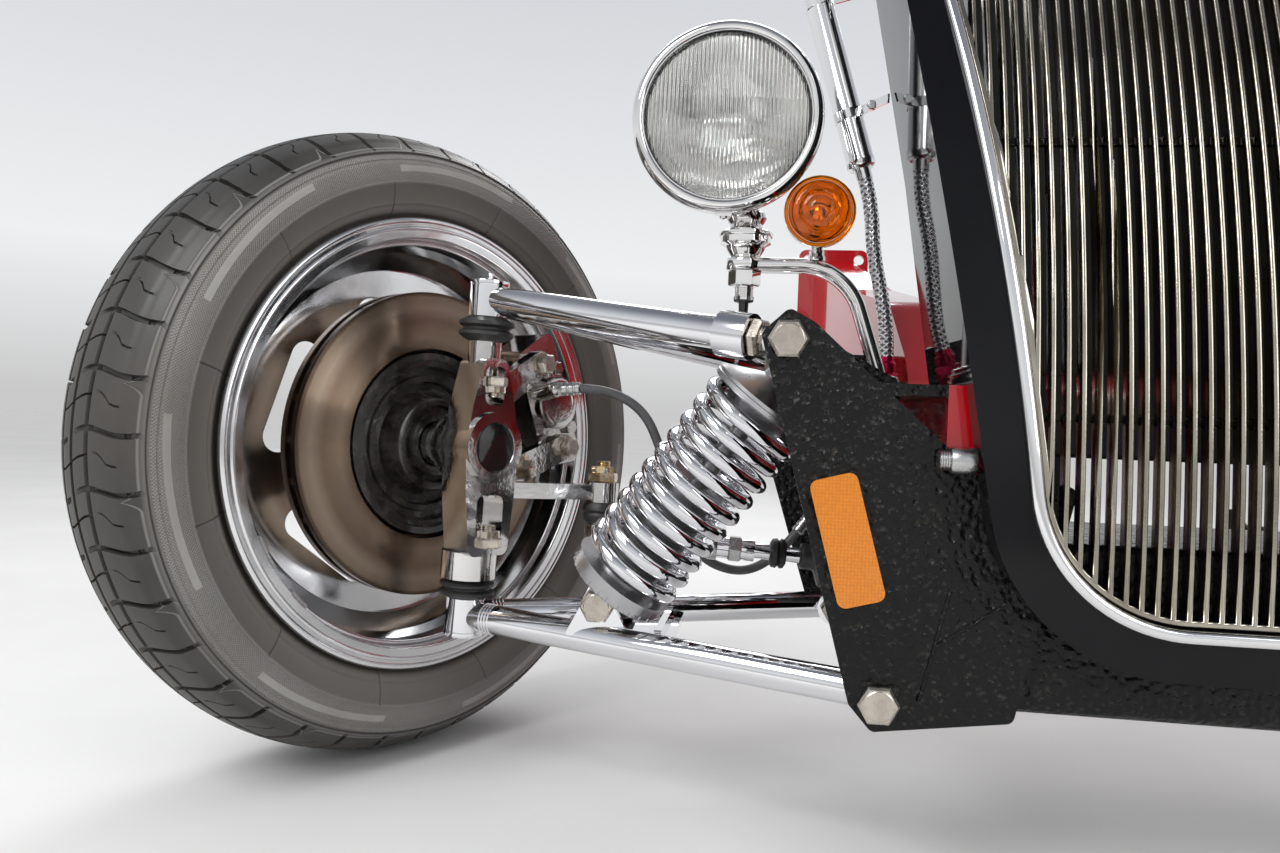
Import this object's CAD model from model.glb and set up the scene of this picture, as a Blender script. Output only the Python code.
import bmesh
import bpy
import math
from mathutils import Matrix, Vector


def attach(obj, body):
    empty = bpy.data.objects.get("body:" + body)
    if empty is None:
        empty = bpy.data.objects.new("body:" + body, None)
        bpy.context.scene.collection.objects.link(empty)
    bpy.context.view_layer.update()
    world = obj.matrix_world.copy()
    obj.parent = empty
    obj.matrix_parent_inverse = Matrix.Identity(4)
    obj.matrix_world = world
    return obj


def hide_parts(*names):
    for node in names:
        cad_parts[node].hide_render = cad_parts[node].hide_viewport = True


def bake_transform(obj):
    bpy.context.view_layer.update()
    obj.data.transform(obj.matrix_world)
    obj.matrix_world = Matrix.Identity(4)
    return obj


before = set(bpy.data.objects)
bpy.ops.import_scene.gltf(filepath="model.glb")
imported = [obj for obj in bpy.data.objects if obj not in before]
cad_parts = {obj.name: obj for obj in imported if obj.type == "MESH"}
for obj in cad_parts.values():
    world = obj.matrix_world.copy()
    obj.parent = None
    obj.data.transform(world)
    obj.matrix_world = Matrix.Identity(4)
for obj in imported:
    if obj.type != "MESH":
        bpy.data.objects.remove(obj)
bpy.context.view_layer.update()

# Row frame: X is the car's left, Y rearward, Z up. ORIGIN is its origin in metres, measured from the
# front axle line on the ground.
ORIGIN = Vector((0.0, 0.488, 0.464))


def car(x, y, z):
    """Point laid out from the front axle line on the ground, in millimetres, as a point of the row frame."""
    return Vector((x, y, z)) / 1000 - ORIGIN


# Camera, at the photograph's viewing angle
CAMERA_AT = (-333.7, -831.6, 323.1)
CAMERA_YAW, CAMERA_PITCH, CAMERA_ROLL = math.radians(-7.8), math.radians(-0.8), math.radians(2.1)
CAMERA_LENS = 27.2

# Steering and wheels
KINGPIN_X = 592.5
KINGPIN_LEAN = math.radians(2.5)
STEER_REST = math.radians(-32.0)
WHEEL_Z = 288.0
WHEEL_PLANE = 120.0


def side_name(side):
    return "right" if side < 0 else "left"


# Mesh tools. Drafts are drawn in millimetres and set into the row frame by a matrix.
MM = 0.001
LEFT, BACK, UP = Vector((1, 0, 0)), Vector((0, 1, 0)), Vector((0, 0, 1))


def side_matrix(side=1):
    """From millimetres laid out for the left side to the row frame."""
    return Matrix.Translation(-ORIGIN) @ Matrix.Diagonal((side * MM, MM, MM, 1))


def corner_matrix(side):
    """From millimetres about a left kingpin, wheels straight, to the row frame as parked."""
    axis = Vector((-side * math.sin(KINGPIN_LEAN), 0, math.cos(KINGPIN_LEAN)))
    place = Matrix.Translation(car(side * KINGPIN_X, 0, WHEEL_Z))
    return place @ Matrix.Rotation(STEER_REST, 4, axis) @ Matrix.Diagonal((side * MM, MM, MM, 1))


def line_frame(start, along):
    """Frame at start with its Z along a direction."""
    return Matrix.Translation(Vector(start)) @ Vector(along).to_track_quat("Z", "Y").to_matrix().to_4x4()


def circle(radius, count):
    """Points spaced evenly round a circle."""
    turns = [math.tau * number / count for number in range(count)]
    return [(radius * math.cos(turn), radius * math.sin(turn)) for turn in turns]


def about_axle(x, radius, turn):
    """Point at a radius and an angle about a wheel's axle."""
    return Vector((x, radius * math.cos(turn), radius * math.sin(turn)))


def stitch(bm, rings):
    """Skins over closed rings of equal count. A ring of one vertex is a pole."""
    for low, high in zip(rings, rings[1:]):
        count = max(len(low), len(high))
        for number in range(count):
            corners = [ring[(number + step) % len(ring)] for ring,
                       step in ((low, 0), (low, 1), (high, 1), (high, 0))]
            unique = list(dict.fromkeys(corners))
            if len(unique) > 2:
                bm.faces.new(unique)


def cap_ends(bm, rings):
    """Flat faces over the first and last ring."""
    bm.faces.new(rings[0][::-1])
    bm.faces.new(rings[-1])


def revolve(bm, profile, start, along, segments=48, loop=False):
    """Body of revolution about the line from start. The profile holds (distance along, radius)."""
    axes = line_frame(start, along)
    rings = []
    for distance, radius in profile:
        around = circle(radius, segments) if radius > 0.01 else [(0, 0)]
        rings.append([bm.verts.new(axes @ Vector((x, y, distance))) for x, y in around])
    stitch(bm, rings + rings[:1] if loop else rings)


def sweep(bm, points, radius, sides=12):
    """Round tube along points, with flat ends."""
    points = [Vector(point) for point in points]
    ahead = [(after - before).normalized() for before, after in zip(points, points[1:])]
    tangents = [ahead[0]] + [(a + b).normalized() for a, b in zip(ahead, ahead[1:])] + [ahead[-1]]
    up = UP if abs(tangents[0].z) < 0.9 else LEFT
    rings = []
    for point, tangent in zip(points, tangents):
        across = up.cross(tangent).normalized()
        up = tangent.cross(across).normalized()
        rings.append([bm.verts.new(point + across * x + up * y) for x, y in circle(radius, sides)])
    stitch(bm, rings)
    cap_ends(bm, rings)


def prism(bm, outline, axes, low, high, bevel=0.0):
    """Outline pushed along the axes' Z, with both ends bevelled by shrinking about that Z."""
    levels = [(low, 1), (high, 1)]
    if bevel:
        small = 1 - bevel / max(math.hypot(x, y) for x, y in outline)
        levels = [(low, small), (low + bevel, 1), (high - bevel, 1), (high, small)]
    rings = [[bm.verts.new(axes @ Vector((x * size, y * size, height))) for x, y in outline]
             for height, size in levels]
    stitch(bm, rings)
    cap_ends(bm, rings)


def hex_nut(bm, start, along, across, height):
    """Nut or bolt head with rounded-off corners, standing on start."""
    prism(bm, circle(across / math.sqrt(3), 6), line_frame(start, along), 0, height, across * 0.07)
    crown = [(-0.2, 0), (-0.2, 0.44), (0.5, 0.4), (0.5, 0)]
    revolve(bm, [(height + rise, across * share) for rise, share in crown], start, along)


def thread(bm, start, end, radius, pitch=2.0, depth=0.8, segments=24):
    """Ridged shaft that stands for a screw thread."""
    start, end = Vector(start), Vector(end)
    count = max(2, int((end - start).length / pitch))
    profile = [(0, 0)]
    for number in range(count):
        profile += [(number * pitch, radius - depth), ((number + 0.5) * pitch, radius)]
    profile += [(count * pitch, radius - depth), (count * pitch, 0)]
    revolve(bm, profile, start, end - start, segments)


def castle_nut(bm, start, along, across, height):
    """Nut with a round slotted crown."""
    hex_nut(bm, start, along, across, height * 0.62)
    corners = [(0.22, -0.15), (0.46, -0.13), (0.46, 0.13), (0.22, 0.15)]
    tooth = [(across * out, across * aside) for out, aside in corners]
    for number in range(6):
        turn = Matrix.Rotation(math.radians(60 * number), 4, "Z")
        prism(bm, tooth, line_frame(start, along) @ turn, height * 0.6, height)


def mesh_object(name, bm, mat, matrix=None):
    """Smooth object of a draft, set into the row frame."""
    if matrix:
        bmesh.ops.transform(bm, matrix=matrix, verts=bm.verts)
    bmesh.ops.recalc_face_normals(bm, faces=bm.faces)
    mesh = bpy.data.meshes.new(name)
    bm.to_mesh(mesh)
    bm.free()
    mesh.materials.append(mat)
    mesh.shade_smooth()
    piece = bpy.data.objects.new(name, mesh)
    bpy.context.collection.objects.link(piece)
    return piece


def make_piece(name, bm, matrix, mat, body, angle=35.0, replaces=()):
    """Piece that rides on a body, with edges sharper than the angle kept sharp."""
    piece = mesh_object(name, bm, mat, matrix)
    piece.data.set_sharp_from_angle(angle=math.radians(angle))
    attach(piece, body)
    if replaces:
        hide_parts(*replaces)


# Materials
class Value:
    """Output of a shader node, reckoned with like a number."""

    def __init__(self, tree, socket):
        self.tree, self.socket = tree, socket

    def __add__(self, other):
        return self.tree.math("ADD", self, other)

    def __sub__(self, other):
        return self.tree.math("SUBTRACT", self, other)

    def __rsub__(self, other):
        return self.tree.math("SUBTRACT", other, self)

    def __mul__(self, other):
        return self.tree.math("MULTIPLY", self, other)

    def __truediv__(self, other):
        return self.tree.math("DIVIDE", self, other)

    def __lt__(self, other):
        return self.tree.math("LESS_THAN", self, other)

    def __gt__(self, other):
        return self.tree.math("GREATER_THAN", self, other)

    __radd__, __rmul__ = __add__, __mul__


class Tree:
    """Shader nodes of a material or of the world."""

    def __init__(self, owner):
        owner.use_nodes = True
        self.nodes, self.links = owner.node_tree.nodes, owner.node_tree.links

    def put(self, value, socket):
        """Links a value to a socket, or writes a plain number or colour into it."""
        if isinstance(value, Value):
            self.links.new(value.socket, socket)
        elif isinstance(value, tuple) and len(socket.default_value) > len(value):
            socket.default_value = (*value, 1)
        else:
            socket.default_value = value

    def node(self, kind, inputs, output=0, **settings):
        """Adds a node, and gives one of its outputs."""
        node = self.nodes.new(kind)
        for name, value in settings.items():
            setattr(node, name, value)
        for name, value in inputs.items():
            self.put(value, node.inputs[name])
        return Value(self, node.outputs[output])

    def math(self, operation, first, second=None):
        inputs = {0: first} if second is None else {0: first, 1: second}
        return self.node("ShaderNodeMath", inputs, operation=operation)

    def ramp(self, value, stops):
        """Colour read off a row of (place, colour) stops."""
        node = self.nodes.new("ShaderNodeValToRGB")
        elements = node.color_ramp.elements
        while len(elements) < len(stops):
            elements.new(0.5)
        for element, (place, colour) in zip(elements, stops):
            element.position = place
            element.color = (*colour, 1)
        self.put(value, node.inputs["Fac"])
        return Value(self, node.outputs["Color"])

    def blend(self, factor, first, second):
        inputs = {"Factor": factor, "A": first, "B": second}
        return self.node("ShaderNodeMix", inputs, "Result", data_type="RGBA")

    def parts(self, vector):
        """The three numbers of a vector."""
        node = self.nodes.new("ShaderNodeSeparateXYZ")
        self.put(vector, node.inputs[0])
        return [Value(self, socket) for socket in node.outputs]


class Look(Tree):
    """Material, with the nodes that feed its shader."""

    def __init__(self, name):
        self.mat = bpy.data.materials.new(name)
        super().__init__(self.mat)
        self.shader = self.nodes["Principled BSDF"]
        self.place = Value(self, self.nodes.new("ShaderNodeTexCoord").outputs["Object"])

    def feed(self, **inputs):
        """Feeds the shader's inputs, named with underscores for spaces, and gives the material."""
        for name, value in inputs.items():
            self.put(value, self.shader.inputs[name.replace("_", " ")])
        return self.mat

    def noise(self, scale, detail=4.0):
        inputs = {"Scale": scale, "Detail": detail, "Roughness": 0.55, "Vector": self.place}
        return self.node("ShaderNodeTexNoise", inputs, "Fac")

    def spread(self, value, low, high):
        """Stretches the middle of a noise from low to high."""
        inputs = {"From Min": 0.3, "From Max": 0.7, "To Min": low, "To Max": high, "Value": value}
        return self.node("ShaderNodeMapRange", inputs, "Result")

    def bump(self, height, strength, distance, normal=None):
        inputs = {"Strength": strength, "Distance": distance, "Height": height}
        if normal:
            inputs["Normal"] = normal
        return self.node("ShaderNodeBump", inputs, "Normal")

    def line(self, value, centre, half):
        """One where value is at centre, falling to nothing at half on either side."""
        away = self.math("ABSOLUTE", value - centre)
        return self.math("MAXIMUM", 1.0 - away / half, 0.0)

    def polar(self, side):
        """Radius and angle of a point about a wheel's axle, with the wheel parked."""
        place, turn, _ = wheel_frame(side).decompose()
        inputs = {"Location": place, "Rotation": turn.to_euler(), "Vector": self.place}
        x, y, _ = self.parts(self.node("ShaderNodeMapping", inputs, "Vector"))
        return self.math("SQRT", x * x + y * y), self.math("ARCTAN2", y, x)


def wheel_frame(side):
    """Turns row coordinates into a wheel's own, in metres, with Z outward along its axle."""
    corner = corner_matrix(side)
    return line_frame(corner @ Vector((WHEEL_PLANE, 0, 0)), corner.to_3x3() @ LEFT).inverted()


def surface(name, colour, other, metallic=0.0, rough=(0.3, 0.4), patch=14.0, grain=300.0, grain_depth=0.0,
            coat=0.0, specular=0.5, shade=None):
    """Paint, metal or rubber with patches of a second colour, uneven gloss and a fine grain."""
    look = Look(name)
    patches = look.ramp(look.noise(patch), [(0.35, colour), (0.7, other)])
    look.feed(Base_Color=shade(look, patches) if shade else patches, Metallic=metallic, Coat_Weight=coat)
    look.feed(Roughness=look.spread(look.noise(patch * 3.1, 8.0), *rough), Specular_IOR_Level=specular)
    if grain_depth:
        look.feed(Normal=look.bump(look.noise(grain, 3.0), 0.6, grain_depth))
    return look.mat


def crinkle():
    """Black wrinkle-finish paint, its crests catching the light."""
    look = Look("crinkle_black_mat")
    inputs = {"Scale": 210.0, "Vector": look.place}
    cells = look.node("ShaderNodeTexVoronoi", inputs, "Distance", feature="SMOOTH_F1")
    swell = look.noise(90.0, 5.0)
    patches = look.noise(9.0)
    crests = look.ramp(cells, [(0.08, (0.036, 0.031, 0.024)), (0.3, (0.005, 0.005, 0.005))])
    return look.feed(
        Base_Color=look.blend(look.spread(swell, 0.0, 0.8), crests, (0.003, 0.003, 0.003)),
        Roughness=look.spread(patches, 0.14, 0.26),
        Specular_IOR_Level=0.25,
        Normal=look.bump(cells, 0.9, 0.0025, look.bump(swell, 0.8, 0.004)),
    )


def tyre_rubber(name, side):
    """Tyre rubber: dusty sides with a cross-hatched band, bright flashes and seams, nearly black tread."""
    look = Look(name)
    radius, angle = look.polar(side)
    across = (radius - 0.2) * 11.0
    rubber = look.ramp(across, [
        (0.05, (0.05, 0.047, 0.044)), (0.13, (0.12, 0.112, 0.102)), (0.38, (0.1, 0.094, 0.086)),
        (0.41, (0.2, 0.192, 0.18)), (0.66, (0.24, 0.23, 0.215)), (0.68, (0.02, 0.019, 0.018)),
        (0.7, (0.12, 0.116, 0.108)), (0.73, (0.024, 0.023, 0.022))])
    turns = (angle + math.pi) / math.tau

    def around(count):
        return look.math("FRACT", turns * count)

    flash = (around(7.0) < 0.6) * look.line(radius, 0.2478 + around(7.0) * 0.004, 0.0034)
    flash = look.math("MINIMUM", flash * 4.0, 1.0)
    seam = (radius < 0.2365) * look.line(around(12.0), 0.5, 0.008)
    corner = look.line(around(LUGS / 2), 0.5, 0.1)
    edge = look.line(radius, 0.2664 + look.math("POWER", corner, 2.0) * 0.009, 0.0011)
    band = look.ramp(across, [(0.4, (0, 0, 0)), (0.41, (1, 1, 1)), (0.655, (1, 1, 1)), (0.665, (0, 0, 0))])
    weave = look.math("SINE", angle * 640.0) * look.math("SINE", radius * 2900.0)
    hatch = weave * (band * (1.0 - flash))
    colour = look.blend(look.math("MAXIMUM", hatch, 0.0) * 0.55, rubber, (0.07, 0.066, 0.06))
    colour = look.blend(flash * 0.7, colour, (0.34, 0.33, 0.31))
    colour = look.blend(seam, colour, (0.02, 0.02, 0.02))
    colour = look.blend(edge * 0.8, colour, (0.26, 0.25, 0.235))
    dust = look.noise(9.0, 8.0)
    relief = hatch * 0.6 + (flash + edge - seam)
    return look.feed(
        Base_Color=look.blend(look.spread(dust, 0.0, 0.45), colour, (0.1, 0.088, 0.072)),
        Roughness=look.spread(dust, 0.4, 0.58),
        Normal=look.bump(relief, 0.8, 0.0008, look.bump(look.noise(140.0), 0.25, 0.0006)),
    )


def hub_black(name, side):
    """Black oily casting with rings left by the lathe."""
    look = Look(name)
    rings = look.math("SINE", look.polar(side)[0] * 5200.0)
    patches = look.noise(60.0)
    return look.feed(
        Base_Color=look.ramp(patches, [(0.35, (0.008, 0.007, 0.006)), (0.7, (0.035, 0.03, 0.026))]),
        Roughness=look.spread(patches, 0.16, 0.34),
        Coat_Weight=0.6,
        Normal=look.bump(rings, 0.2, 0.0002, look.bump(look.noise(240.0), 0.4, 0.0006)),
    )


def rotor_steel(name, side):
    """Brake disc: brown, finely ringed rubbing faces, dark casting inside and at the edge."""
    look = Look(name)
    radius = look.polar(side)[0]
    rings = look.math("SINE", radius * 7400.0)
    zones = [(0.0, (0.02, 0.018, 0.016)), (0.62, (0.02, 0.018, 0.016)), (0.635, (0.2, 0.14, 0.095)),
             (0.7, (0.3, 0.225, 0.165)), (0.82, (0.22, 0.155, 0.11)), (0.9, (0.33, 0.26, 0.2)),
             (0.975, (0.24, 0.18, 0.13)), (0.99, (0.1, 0.07, 0.05))]
    return look.feed(
        Base_Color=look.ramp(radius * 7.1 + look.noise(30.0, 8.0) * 0.02, zones),
        Roughness=look.spread(rings, 0.13, 0.24),
        Normal=look.bump(rings, 0.22, 0.00025),
        Metallic=0.95,
        Anisotropic=0.4,
    )


def chrome(name, tint=(0.83, 0.83, 0.85)):
    dark = tuple(0.93 * part for part in tint)
    return surface(name, tint, dark, 1, (0.03, 0.09), 8, 90, 0.00002)


def glass(name, colour, rough, flutes=None, depth=0.0):
    """Clear or coloured lens, with upright flutes moulded in."""
    look = Look(name)
    look.feed(Base_Color=colour, Transmission_Weight=1.0, IOR=1.45)
    if flutes:
        inputs = {"Scale": flutes, "Vector": look.place}
        wave = look.node("ShaderNodeTexWave", inputs, "Fac", bands_direction="X")
        look.feed(Normal=look.bump(wave, 0.8, depth))
    return look.feed(Roughness=look.spread(look.noise(30.0), *rough))


def prismatic():
    """Orange reflector film with a fine honeycomb."""
    look = Look("amber_reflector_mat")
    inputs = {"Scale": 420.0, "Randomness": 0.25, "Vector": look.place}
    cells = look.node("ShaderNodeTexVoronoi", inputs, "Distance")
    return look.feed(
        Base_Color=look.ramp(cells, [(0.1, (0.72, 0.23, 0.006)), (0.8, (0.5, 0.14, 0.005))]),
        Normal=look.bump(cells, 0.3, 0.0004),
        Roughness=look.spread(look.noise(40.0), 0.22, 0.4),
        Coat_Weight=0.3,
    )


def braid(name, colour, other):
    """Woven wire: two crossing sets of fine bands."""
    look = Look(name)
    waves = []
    for turn in (0.9, -0.9):
        inputs = {"Rotation": BACK * turn, "Vector": look.place}
        turned = look.node("ShaderNodeMapping", inputs, "Vector")
        waves.append(look.node("ShaderNodeTexWave", {"Scale": 75.0, "Vector": turned}, "Fac"))
    wires = look.math("MAXIMUM", *waves)
    return look.feed(
        Base_Color=look.ramp(wires, [(0.4, other), (0.9, colour)]),
        Normal=look.bump(wires, 0.8, 0.0006),
        Roughness=look.spread(wires, 0.45, 0.25),
        Metallic=0.9,
    )


# Points just in front of the grille's cross rods
CROSS_RODS = [car(0, -168.0, 330), car(0, -133.5, 520), car(0, -68.0, 710)]


def darken_rods(look, brass):
    """Leaves the cross rods behind the grille's bars nearly black."""
    _, depth, height = look.parts(look.place)
    for rod in CROSS_RODS:
        near = look.line(height, rod.z, 0.004) > 0.1
        brass = look.blend(near * (depth > rod.y), brass, (0.02, 0.018, 0.016))
    return brass


def dress(node, mat):
    """Gives a CAD piece its material."""
    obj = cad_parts[node]
    obj.data.materials.clear()
    obj.data.materials.append(mat)
    for polygon in obj.data.polygons:
        polygon.use_smooth = True


CHROME = chrome("chrome_mat")
LAMP_CHROME = chrome("lamp_chrome_mat", (0.85, 0.84, 0.83))
SPRING_CHROME = chrome("spring_chrome_mat")
TRIM_CHROME = chrome("trim_chrome_mat", (0.84, 0.84, 0.84))
ALLOY = surface("alloy_mat", (0.82, 0.82, 0.83), (0.7, 0.7, 0.71), 1, (0.06, 0.2), 10, 700, 0.00004)
FORGING = surface("forging_mat", (0.7, 0.69, 0.68), (0.6, 0.58, 0.56), 1, (0.05, 0.13), 14, 120, 0.00025)
CALIPER = surface("caliper_mat", (0.6, 0.58, 0.56), (0.46, 0.43, 0.41), 1, (0.08, 0.18), 14, 160, 0.0003)
CRINKLE = crinkle()
GLOSS = surface("gloss_black_mat", (0.003, 0.003, 0.004), (0.006, 0.006, 0.007), 0, (0.02, 0.05), 6,
                specular=0.22)
RED = surface("red_paint_mat", (0.52, 0.006, 0.012), (0.36, 0.003, 0.006), 0, (0.08, 0.18), 7, 40, 0.0002,
              coat=1)
RUBBER = surface("boot_rubber_mat", (0.012, 0.012, 0.012), (0.03, 0.029, 0.028), 0, (0.35, 0.6), 30, 500,
                 0.0002)
HOSE = surface("hose_rubber_mat", (0.075, 0.075, 0.078), (0.13, 0.13, 0.135), 0, (0.3, 0.5), 60, 900, 0.0001)
NICKEL = surface("bolt_nickel_mat", (0.6, 0.55, 0.48), (0.42, 0.38, 0.33), 1, (0.2, 0.36), 60, 500, 0.0002)
DAMPER = surface("damper_metal_mat", (0.5, 0.5, 0.51), (0.38, 0.37, 0.37), 1, (0.25, 0.4), 24, 600, 0.0001)
HOUSING = surface("housing_metal_mat", (0.02, 0.02, 0.02), (0.045, 0.042, 0.04), 0, (0.3, 0.5), 22, 260,
                  0.0004)
STEEL = surface("bar_steel_mat", (0.55, 0.55, 0.55), (0.45, 0.44, 0.43), 1, (0.2, 0.35), 30, 700, 0.0001)
BRASS = surface("grille_bar_mat", (0.46, 0.43, 0.36), (0.3, 0.27, 0.22), 1, (0.1, 0.24), 22, 500, 0.0001,
                shade=darken_rods)
CORE = surface("radiator_black_mat", (0.012, 0.012, 0.012), (0.028, 0.027, 0.026), 0, (0.45, 0.6), 20, 300,
               0.0003)
FINS = surface("radiator_fin_mat", (0.06, 0.06, 0.062), (0.11, 0.108, 0.105), 0.6, (0.35, 0.5), 20, 300,
               0.0002)
CAP_BLACK = surface("cap_black_mat", (0.006, 0.006, 0.007), (0.012, 0.012, 0.012), 0, (0.06, 0.14), 30,
                    coat=0.7)
BRASSY = surface("steering_nut_mat", (0.72, 0.55, 0.3), (0.6, 0.56, 0.5), 1, (0.14, 0.3), 70, 500, 0.0002)
BRAIDED = braid("braided_steel_mat", (0.8, 0.8, 0.82), (0.2, 0.2, 0.21))
ANODISED = surface("red_fitting_mat", (0.62, 0.01, 0.09), (0.45, 0.005, 0.05), 0.85, (0.2, 0.3), 60)
LENS = glass("lens_glass_mat", (0.95, 0.96, 0.96), (0.0, 0.03), 92.0, 0.0007)
AMBER = glass("amber_lens_mat", (1.0, 0.4, 0.03), (0.0, 0.06))
REFLECTOR = prismatic()
BOWL = chrome("lamp_bowl_mat", (0.8, 0.79, 0.77))
BULB = glass("lamp_bulb_mat", (0.95, 0.93, 0.88), (0.05, 0.12))
TYRE = surface("tyre_rubber_mat", (0.05, 0.047, 0.044), (0.085, 0.08, 0.073), 0, (0.5, 0.7), 12, 420, 0.0003)

BOTH_SIDES = {
    "wheel": ALLOY, "hub_cap": ALLOY, "tyre": TYRE, "knuckle": FORGING, "caliper": CALIPER, "rail": RED,
    "upper_arm": CHROME, "lower_arm": CHROME, "tie_rod": CHROME, "headlamp": LAMP_CHROME, "brake_hose": HOSE,
}
SINGLE = {
    "dampers": DAMPER, "springs": SPRING_CHROME, "front_plates": CRINKLE, "rear_plates": CRINKLE,
    "towers": CRINKLE, "crossmember": CRINKLE, "ball_boots": RUBBER, "pivot_bolts": NICKEL,
    "rack_bellows": RUBBER, "rack_housing": HOUSING, "rack_bar": STEEL, "lamp_stays": LAMP_CHROME,
    "lamp_lenses": LENS, "signals": LAMP_CHROME, "signal_lenses": AMBER, "reflectors": REFLECTOR,
    "grille_shell": GLOSS, "grille_trim": TRIM_CHROME, "grille": BRASS, "radiator": CORE,
    "radiator_baffle": CORE, "hose_fittings": NICKEL, "overflow_tank": TRIM_CHROME, "drain_hose": BRAIDED,
    "drain_fitting": ANODISED,
}
for node, mat in SINGLE.items():
    dress(node, mat)
for side in (-1, 1):
    for stem, mat in BOTH_SIDES.items():
        dress(f"{stem}_{side_name(side)}", mat)
    dress(f"rotor_{side_name(side)}", rotor_steel(f"rotor_{side_name(side)}_mat", side))


# Tyres
TYRE_RADIUS = 288.0
TREAD_HALF = 50.0
TREAD_DROP = 12.0
# Points of the side's outline as (x, radius)
BEAD_EDGE = Vector((54.6, 207.6))
SHOULDER = Vector((66.0, 264.0))
WIDEST = Vector((73.6, 244.0))
GROOVE_DEPTH, SLOT_DEPTH, SIPE_DEPTH = 6.0, 3.0, 3.6
SHOULDER_SLOT_DEPTH, SHOULDER_SIPE_DEPTH = 5.1, 2.6
LUGS = 40
# Circumferential grooves across the tread as (middle, half width)
TREAD_GROOVES = [(-21.0, 2.5), (0.0, 2.5), (21.0, 2.5)]
# Columns of one tread pitch as shares of it, and those between which a slot and a sipe are cut
TREAD_SHARES = [0.0, 0.015, 0.09, 0.105, 0.17, 0.25, 0.34, 0.42, 0.48,
                0.49, 0.515, 0.525, 0.6, 0.67, 0.74, 0.81, 0.88, 0.94]
SLOT_SHARES, SIPE_SHARES = (0.015, 0.09), (0.49, 0.515)
# Where a shoulder lug's bent sipe starts, turns over and ends across the tread, and its lean in pitches
SIPE = (28.0, 38.0, 47.0)
SIPE_LEAN = 0.075
# Raised rings of the side as (radius, half width, height)
SIDE_RINGS = [(212.6, 2.4, 1.5), (218.0, 0.8, 0.7), (236.6, 1.0, 0.8), (255.6, 0.9, -0.8), (261.6, 1.3, -2.4)]
# How far the side lies under the solid's between its rings
SIDE_SINK = 1.6
SHOULDER_ROWS = 6


def circle_through(first, second, third):
    """Centre and radius of the circle through three points."""
    near, far = second - first, third - first
    across = (near.length_squared * far - far.length_squared * near) / (2 * near.cross(far))
    return first + Vector((across.y, -across.x)), across.length


def crown(x):
    """Radius of the tread across its width."""
    return TYRE_RADIUS - TREAD_DROP * (x / TREAD_HALF) ** 2


def tread_rows():
    """Rows of the tread from one edge to the other: (x, radius, zone)."""
    rows = []
    edge = -TREAD_HALF
    grooves = [(middle - half, middle + half) for middle, half in TREAD_GROOVES]
    for near, far in [*grooves, (TREAD_HALF, None)]:
        zone = "shoulder" if edge < -40 or near > 40 else "centre"
        steps = max(3, int((near - edge) / 4))
        rows += [(edge + (near - edge) * n / steps, 0, zone) for n in range(steps + 1)]
        if far:
            rows += [(near + 1.0, GROOVE_DEPTH, "groove"), (far - 1.0, GROOVE_DEPTH, "groove")]
            edge = far
    return [(x, crown(x) - depth, zone) for x, depth, zone in rows]


def side_rows():
    """Rows of one side, with their normals: those of the shoulder, and those from there to the bead."""
    centre, radius = circle_through(SHOULDER, WIDEST, BEAD_EDGE)
    heights = {SHOULDER.y, BEAD_EDGE.y, 261.0, 252.0, 241.0, 236.0, 226.0, 216.5}
    for at, half, _ in SIDE_RINGS:
        heights.update(at + half * share for share in (-1.3, -0.75, 0.75, 1.3))
    edge = Vector((TREAD_HALF, crown(TREAD_HALF)))
    shoulder = [edge.lerp(SHOULDER, n / SHOULDER_ROWS) for n in range(1, SHOULDER_ROWS)]
    levels = sorted(heights, reverse=True)
    wall = [Vector((centre.x + math.sqrt(radius ** 2 - (r - centre.y) ** 2), r)) for r in levels]

    def finished(row):
        normal = (row - centre) / radius
        rings = (height * math.exp(-(((row.y - at) / half) ** 4)) for at, half, height in SIDE_RINGS)
        lift = sum(rings) - SIDE_SINK
        return (row.x + normal.x * lift, row.y + normal.y * lift * 0.4, normal)

    return [finished(row) for row in shoulder], [finished(row) for row in wall]


def tread_cut(zone, x, radius, share):
    """Depth cut into the tread at a place: slots between the lugs, and sipes."""
    slot, sipe = share in SLOT_SHARES, share in SIPE_SHARES
    if zone == "shoulder":
        fade = min(1.0, max(0.0, (radius - SHOULDER.y) / 6)) if abs(x) > TREAD_HALF else 1.0
        sipe = sipe and SIPE[0] < abs(x) < SIPE[2]
        return (SHOULDER_SLOT_DEPTH * slot + SHOULDER_SIPE_DEPTH * sipe) * fade
    if zone == "centre":
        return SIPE_DEPTH * sipe + SLOT_DEPTH * (slot and abs(x) > 8)
    return 0.0


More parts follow.
